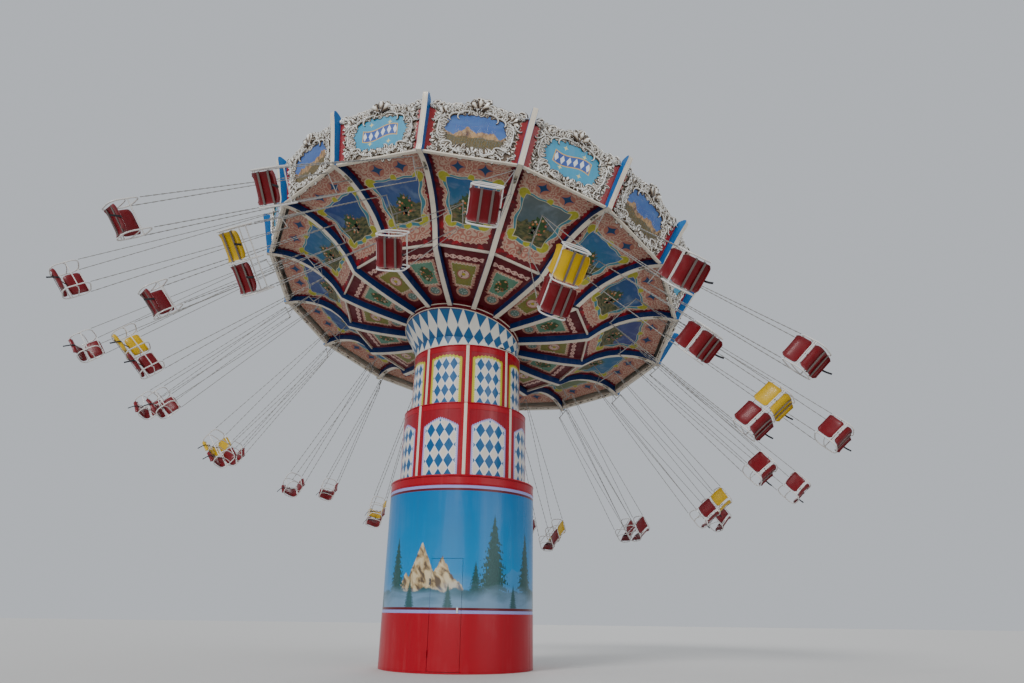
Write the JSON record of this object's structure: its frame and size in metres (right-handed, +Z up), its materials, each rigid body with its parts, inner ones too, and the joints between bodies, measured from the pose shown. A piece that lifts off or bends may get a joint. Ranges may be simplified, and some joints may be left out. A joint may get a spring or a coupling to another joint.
{
  "type": "chair swing ride",
  "caption": "Chair swing ride: a telescoping painted drum tower with a tilting, turning crown that carries gondolas on chains.",
  "frame": {"origin": "centre of the tower's floor plate, on its underside", "axes": "+Z up the tower, +X to the right and -Y toward the viewer as the ride is seen in the picture"},
  "size_m": [15.6541, 15.6737, 9.9789],
  "materials": {
    "red_paint": "gloss red enamel",
    "mural_blue": "painted sky mural under varnish",
    "lozenge_paint": "blue and white lozenges",
    "white_paint": "off-white enamel",
    "relief_cream": "cream relief ornament",
    "ceiling_green": "painted cartouches on red",
    "ceiling_pink": "painted scenes in scroll frames",
    "roof_grey": "matt grey sheet",
    "structure_steel": "grey structural steel",
    "red_seat": "gloss red seat shell with white tube",
    "yellow_seat": "yellow and red seat shells with white tube"
  },
  "bodies": {
    "base": {"base_floor": "structure_steel", "base_plinth": "red_paint", "base_wall": "mural_blue", "base_top_band": "red_paint", "base_mast": "structure_steel"},
    "door": {"base_door": "mural_blue"},
    "middle_drum": {"middle_wall": "lozenge_paint", "middle_frame": "red_paint", "middle_mast": "structure_steel"},
    "upper_drum": {"upper_wall": "lozenge_paint", "upper_frame": "red_paint", "upper_mast": "structure_steel"},
    "tilt_head": {"tilt_tube": "structure_steel", "collar": "lozenge_paint"},
    "crown": {"crown_hub": "red_paint", "cage_sector_1": "white_paint", "cage_sector_2": "white_paint", "cage_sector_3": "white_paint", "cage_sector_4": "white_paint", "cage_sector_5": "white_paint", "cage_sector_6": "white_paint", "cage_sector_7": "white_paint", "cage_sector_8": "white_paint", "ceiling_inner": "ceiling_green", "ceiling_middle": "ceiling_pink", "ceiling_outer": "ceiling_pink", "fascia_ring": "relief_cream", "crown_roof": "roof_grey"},
    "gondola_outer_01": {"gondola_outer_01": "red_seat"},
    "gondola_inner_01": {"gondola_inner_01": "red_seat"},
    "gondola_outer_02": {"gondola_outer_02": "red_seat"},
    "gondola_inner_02": {"gondola_inner_02": "yellow_seat"},
    "gondola_outer_03": {"gondola_outer_03": "red_seat"},
    "gondola_inner_03": {"gondola_inner_03": "red_seat"},
    "gondola_outer_04": {"gondola_outer_04": "red_seat"},
    "gondola_inner_04": {"gondola_inner_04": "yellow_seat"},
    "gondola_outer_05": {"gondola_outer_05": "red_seat"},
    "gondola_inner_05": {"gondola_inner_05": "red_seat"},
    "gondola_outer_06": {"gondola_outer_06": "red_seat"},
    "gondola_inner_06": {"gondola_inner_06": "yellow_seat"},
    "gondola_outer_07": {"gondola_outer_07": "red_seat"},
    "gondola_inner_07": {"gondola_inner_07": "red_seat"},
    "gondola_outer_08": {"gondola_outer_08": "red_seat"},
    "gondola_inner_08": {"gondola_inner_08": "yellow_seat"},
    "gondola_outer_09": {"gondola_outer_09": "red_seat"},
    "gondola_inner_09": {"gondola_inner_09": "red_seat"},
    "gondola_outer_10": {"gondola_outer_10": "red_seat"},
    "gondola_inner_10": {"gondola_inner_10": "yellow_seat"},
    "gondola_outer_11": {"gondola_outer_11": "red_seat"},
    "gondola_inner_11": {"gondola_inner_11": "red_seat"},
    "gondola_outer_12": {"gondola_outer_12": "red_seat"},
    "gondola_inner_12": {"gondola_inner_12": "yellow_seat"},
    "gondola_outer_13": {"gondola_outer_13": "red_seat"},
    "gondola_inner_13": {"gondola_inner_13": "red_seat"},
    "gondola_outer_14": {"gondola_outer_14": "red_seat"},
    "gondola_inner_14": {"gondola_inner_14": "yellow_seat"},
    "gondola_outer_15": {"gondola_outer_15": "red_seat"},
    "gondola_inner_15": {"gondola_inner_15": "red_seat"},
    "gondola_outer_16": {"gondola_outer_16": "red_seat"},
    "gondola_inner_16": {"gondola_inner_16": "yellow_seat"}
  },
  "joints": [
    {"name": "door_hinge", "type": "hinge", "parent": "base", "child": "door", "pos_m": [-0.5387, -1.41813, 0.9], "axis": [0, 0, 1], "range_deg": [-100, 0]},
    {"name": "middle_lift", "type": "slide", "parent": "base", "child": "middle_drum", "axis": [0, 0, 1], "range_m": [-1.4, 0]},
    {"name": "upper_lift", "type": "slide", "parent": "middle_drum", "child": "upper_drum", "axis": [0, 0, 1], "range_m": [-1.2, 0]},
    {"name": "crown_tilt", "type": "hinge", "parent": "upper_drum", "child": "tilt_head", "pos_m": [0, 0, 7.57], "axis": [-0.7804, 0.6252, 0], "range_deg": [-15.6, 0]},
    {"name": "crown_spin", "type": "hinge", "parent": "tilt_head", "child": "crown", "pos_m": [0, 0, 7.57], "axis": [0.1681, 0.2099, 0.9632], "continuous": true},
    {"name": "gondola_outer_01_swing", "type": "hinge", "parent": "crown", "child": "gondola_outer_01", "pos_m": [-3.53798, -2.08652, 8.74092], "axis": [-0.3725, 0.9182, -0.135], "range_deg": [-41.5, 20.5]},
    {"name": "gondola_inner_01_swing", "type": "hinge", "parent": "crown", "child": "gondola_inner_01", "pos_m": [-2.36092, -2.14661, 8.44989], "axis": [-0.5829, 0.8091, -0.0746], "range_deg": [-35.82, 26.18]},
    {"name": "gondola_outer_02_swing", "type": "hinge", "parent": "crown", "child": "gondola_outer_02", "pos_m": [-2.40434, -3.30557, 8.80865], "axis": [-0.6934, 0.7197, -0.0358], "range_deg": [-39.1, 22.9]},
    {"name": "gondola_inner_02_swing", "type": "hinge", "parent": "crown", "child": "gondola_inner_02", "pos_m": [-1.31932, -2.91003, 8.43441], "axis": [-0.8427, 0.5375, 0.03], "range_deg": [-36.18, 25.82]},
    {"name": "gondola_outer_03_swing", "type": "hinge", "parent": "crown", "child": "gondola_outer_03", "pos_m": [-0.90224, -4.01834, 8.70173], "axis": [-0.9087, 0.4116, 0.0689], "range_deg": [-38.2, 23.8]},
    {"name": "gondola_inner_03_swing", "type": "hinge", "parent": "crown", "child": "gondola_inner_03", "pos_m": [-0.07687, -3.23042, 8.28733], "axis": [-0.9743, 0.184, 0.13], "range_deg": [-37.59, 24.41]},
    {"name": "gondola_outer_04_swing", "type": "hinge", "parent": "crown", "child": "gondola_outer_04", "pos_m": [0.73966, -4.11632, 8.43646], "axis": [-0.9857, 0.0409, 0.1632], "range_deg": [-38.95, 23.05]},
    {"name": "gondola_inner_04_swing", "type": "hinge", "parent": "crown", "child": "gondola_inner_04", "pos_m": [1.17728, -3.05901, 8.03104], "axis": [-0.9575, -0.1975, 0.2102], "range_deg": [-39.82, 22.18]},
    {"name": "gondola_outer_05_swing", "type": "hinge", "parent": "crown", "child": "gondola_outer_05", "pos_m": [2.27138, -3.58459, 8.0532], "axis": [-0.9127, -0.336, 0.2326], "range_deg": [-41.23, 20.77]},
    {"name": "gondola_inner_05_swing", "type": "hinge", "parent": "crown", "child": "gondola_inner_05", "pos_m": [2.2522, -2.42189, 7.70456], "axis": [-0.795, -0.5489, 0.2584], "range_deg": [-42.54, 19.46]},
    {"name": "gondola_outer_06_swing", "type": "hinge", "parent": "crown", "child": "gondola_outer_06", "pos_m": [3.45974, -2.5041, 7.61031], "axis": [-0.7007, -0.6618, 0.2665], "range_deg": [-44.69, 17.31]},
    {"name": "gondola_inner_06_swing", "type": "hinge", "parent": "crown", "child": "gondola_inner_06", "pos_m": [2.98425, -1.41606, 7.3576], "axis": [-0.5114, -0.8167, 0.2672], "range_deg": [-45.32, 16.68]},
    {"name": "gondola_outer_07_swing", "type": "hinge", "parent": "crown", "child": "gondola_outer_07", "pos_m": [4.12381, -1.03935, 7.17521], "axis": [-0.382, -0.8869, 0.2599], "range_deg": [-48.81, 13.19]},
    {"name": "gondola_inner_07_swing", "type": "hinge", "parent": "crown", "child": "gondola_inner_07", "pos_m": [3.26197, -0.19465, 7.04297], "axis": [-0.15, -0.9603, 0.2354], "range_deg": [-47.75, 14.25]},
    {"name": "gondola_outer_08_swing", "type": "hinge", "parent": "crown", "child": "gondola_outer_08", "pos_m": [4.1625, 0.58666, 6.81415], "axis": [-0.0052, -0.9769, 0.2138], "range_deg": [-52.96, 9.04]},
    {"name": "gondola_inner_08_swing", "type": "hinge", "parent": "crown", "child": "gondola_inner_08", "pos_m": [3.04309, 1.05639, 6.80858], "axis": [0.2343, -0.9576, 0.1678], "range_deg": [-49.46, 12.54]},
    {"name": "gondola_outer_09_swing", "type": "hinge", "parent": "crown", "child": "gondola_outer_09", "pos_m": [3.56993, 2.1264, 6.58209], "axis": [0.3725, -0.9182, 0.135], "range_deg": [-56.5, 5.5]},
    {"name": "gondola_inner_09_swing", "type": "hinge", "parent": "crown", "child": "gondola_inner_09", "pos_m": [2.36092, 2.14661, 6.6901], "axis": [0.5829, -0.8091, 0.0746], "range_deg": [-50.18, 11.82]},
    {"name": "gondola_outer_10_swing", "type": "hinge", "parent": "crown", "child": "gondola_outer_10", "pos_m": [2.43629, 3.34545, 6.51435], "axis": [0.6934, -0.7197, 0.0358], "range_deg": [-58.9, 3.1]},
    {"name": "gondola_inner_10_swing", "type": "hinge", "parent": "crown", "child": "gondola_inner_10", "pos_m": [1.31932, 2.91003, 6.70559], "axis": [0.8427, -0.5375, -0.03], "range_deg": [-49.82, 12.18]},
    {"name": "gondola_outer_11_swing", "type": "hinge", "parent": "crown", "child": "gondola_outer_11", "pos_m": [0.93418, 4.05822, 6.62127], "axis": [0.9087, -0.4116, -0.0689], "range_deg": [-59.8, 2.2]},
    {"name": "gondola_inner_11_swing", "type": "hinge", "parent": "crown", "child": "gondola_inner_11", "pos_m": [0.07687, 3.23042, 6.85267], "axis": [0.9743, -0.184, -0.13], "range_deg": [-48.41, 13.59]},
    {"name": "gondola_outer_12_swing", "type": "hinge", "parent": "crown", "child": "gondola_outer_12", "pos_m": [-0.70771, 4.1562, 6.88654], "axis": [0.9857, -0.0409, -0.1632], "range_deg": [-59.05, 2.95]},
    {"name": "gondola_inner_12_swing", "type": "hinge", "parent": "crown", "child": "gondola_inner_12", "pos_m": [-1.17728, 3.05901, 7.10896], "axis": [0.9575, 0.1975, -0.2102], "range_deg": [-46.18, 15.82]},
    {"name": "gondola_outer_13_swing", "type": "hinge", "parent": "crown", "child": "gondola_outer_13", "pos_m": [-2.23943, 3.62446, 7.2698], "axis": [0.9127, 0.336, -0.2326], "range_deg": [-56.77, 5.23]},
    {"name": "gondola_inner_13_swing", "type": "hinge", "parent": "crown", "child": "gondola_inner_13", "pos_m": [-2.2522, 2.42189, 7.43544], "axis": [0.795, 0.5489, -0.2584], "range_deg": [-43.46, 18.54]},
    {"name": "gondola_outer_14_swing", "type": "hinge", "parent": "crown", "child": "gondola_outer_14", "pos_m": [-3.42779, 2.54398, 7.71269], "axis": [0.7007, 0.6618, -0.2665], "range_deg": [-53.31, 8.69]},
    {"name": "gondola_inner_14_swing", "type": "hinge", "parent": "crown", "child": "gondola_inner_14", "pos_m": [-2.98425, 1.41606, 7.7824], "axis": [0.5114, 0.8167, -0.2672], "range_deg": [-40.68, 21.32]},
    {"name": "gondola_outer_15_swing", "type": "hinge", "parent": "crown", "child": "gondola_outer_15", "pos_m": [-4.09186, 1.07923, 8.14779], "axis": [0.382, 0.8869, -0.2599], "range_deg": [-49.19, 12.81]},
    {"name": "gondola_inner_15_swing", "type": "hinge", "parent": "crown", "child": "gondola_inner_15", "pos_m": [-3.26197, 0.19465, 8.09703], "axis": [0.15, 0.9603, -0.2354], "range_deg": [-38.25, 23.75]},
    {"name": "gondola_outer_16_swing", "type": "hinge", "parent": "crown", "child": "gondola_outer_16", "pos_m": [-4.13056, -0.54679, 8.50885], "axis": [0.0052, 0.9769, -0.2138], "range_deg": [-45.04, 16.96]},
    {"name": "gondola_inner_16_swing", "type": "hinge", "parent": "crown", "child": "gondola_inner_16", "pos_m": [-3.04309, -1.05639, 8.33142], "axis": [-0.2343, 0.9576, -0.1678], "range_deg": [-36.54, 25.46]}
  ],
  "couplings": [
    {"joint": "upper_lift", "follows": "middle_lift", "ratio": 0.85714}
  ]
}
